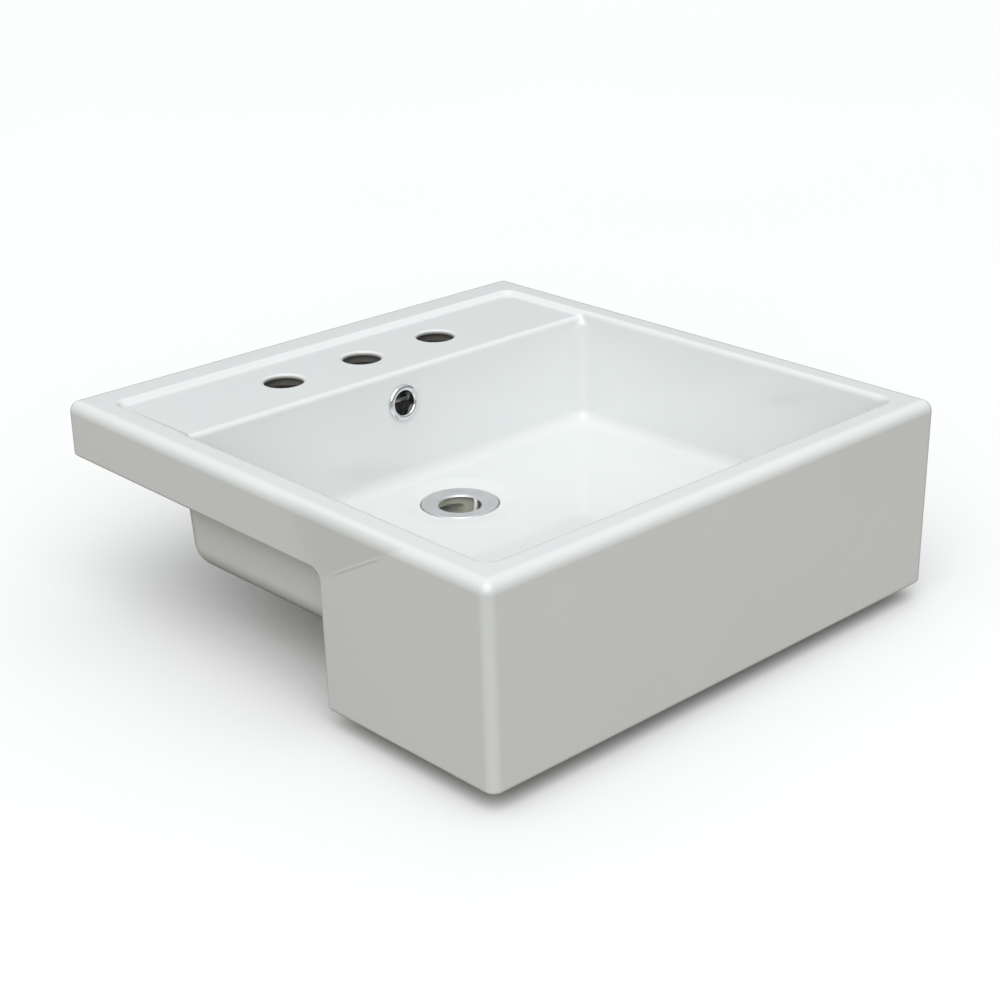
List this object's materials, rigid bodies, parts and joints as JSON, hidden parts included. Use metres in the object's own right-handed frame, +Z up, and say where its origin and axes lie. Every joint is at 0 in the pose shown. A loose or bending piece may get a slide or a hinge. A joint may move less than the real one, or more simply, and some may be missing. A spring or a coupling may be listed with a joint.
{
  "type": "semi-recessed washbasin",
  "caption": "Square semi-recessed basin in white china: slab on the countertop, deep apron in front, three tap holes, overflow trim and slotted waste.",
  "frame": {"origin": "centre line, on the underside of the slab's back foot, so z = 0 is the countertop's surface", "axes": "+X to the user's right facing the wall, +Y towards the wall, +Z up"},
  "size_m": [0.51, 0.525, 0.1797],
  "materials": {
    "glazed_china": "white glaze, glossy",
    "chrome": "bright chrome plate",
    "spring_steel": "satin spring steel",
    "satin_chrome": "chrome plate, dulled by use",
    "foam_rubber": "grey foam rubber",
    "black_rubber": "matt black rubber",
    "white_polythene": "translucent white polythene",
    "brass": "machined brass"
  },
  "bodies": {
    "basin": {"basin_body": "glazed_china", "waste_body": "satin_chrome", "waste_flange_seal": "foam_rubber", "waste_lower_gasket": "black_rubber"},
    "overflow_trim": {"overflow_ring": "chrome", "overflow_clip": "spring_steel"},
    "slip_washer": {"waste_slip_washer": "white_polythene"},
    "back_nut": {"waste_back_nut": "brass"}
  },
  "joints": [
    {"name": "trim_pull_out", "type": "slide", "parent": "basin", "child": "overflow_trim", "axis": [0, -0.9983, 0.0582], "range_m": [0, 0.018]},
    {"name": "washer_drop", "type": "slide", "parent": "basin", "child": "slip_washer", "axis": [0, 0, -1], "range_m": [0, 0.0208]},
    {"name": "nut_turn", "type": "hinge", "parent": "slip_washer", "child": "back_nut", "pos_m": [0, -0.201, -0.103], "axis": [0, 0, -1], "range_deg": [0, 3240]}
  ],
  "couplings": [
    {"joint": "washer_drop", "follows": "nut_turn", "m_per_rad": 0.00036749}
  ]
}
